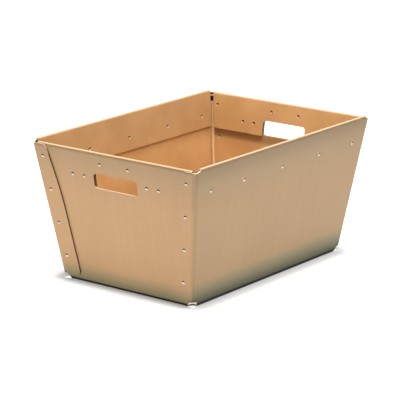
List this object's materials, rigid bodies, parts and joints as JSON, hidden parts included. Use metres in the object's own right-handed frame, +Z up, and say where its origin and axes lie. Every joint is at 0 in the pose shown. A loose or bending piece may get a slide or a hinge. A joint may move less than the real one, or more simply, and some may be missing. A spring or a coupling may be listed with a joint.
{
  "type": "fibreboard nesting transport basket",
  "caption": "Open tapered basket folded from one sheet of tan fibreboard, with hemmed rim, hand holes in both ends and riveted corner flaps, for carrying goods or mail and nesting when empty.",
  "frame": {"origin": "middle of the underside of the floor panel, on the surface it stands on", "axes": "+X along the basket towards one end wall, +Y across it towards one side wall, +Z up"},
  "size_m": [0.56, 0.395, 0.277],
  "materials": {
    "fibreboard": "smooth tan fibreboard with a faint vertical grain",
    "rivet_metal": "plated steel, lightly polished"
  },
  "bodies": {
    "root": {"basket_body": "fibreboard", "rim_rivets": "rivet_metal", "corner_rivets": "rivet_metal", "top_corner_rivets": "rivet_metal"}
  },
  "joints": []
}
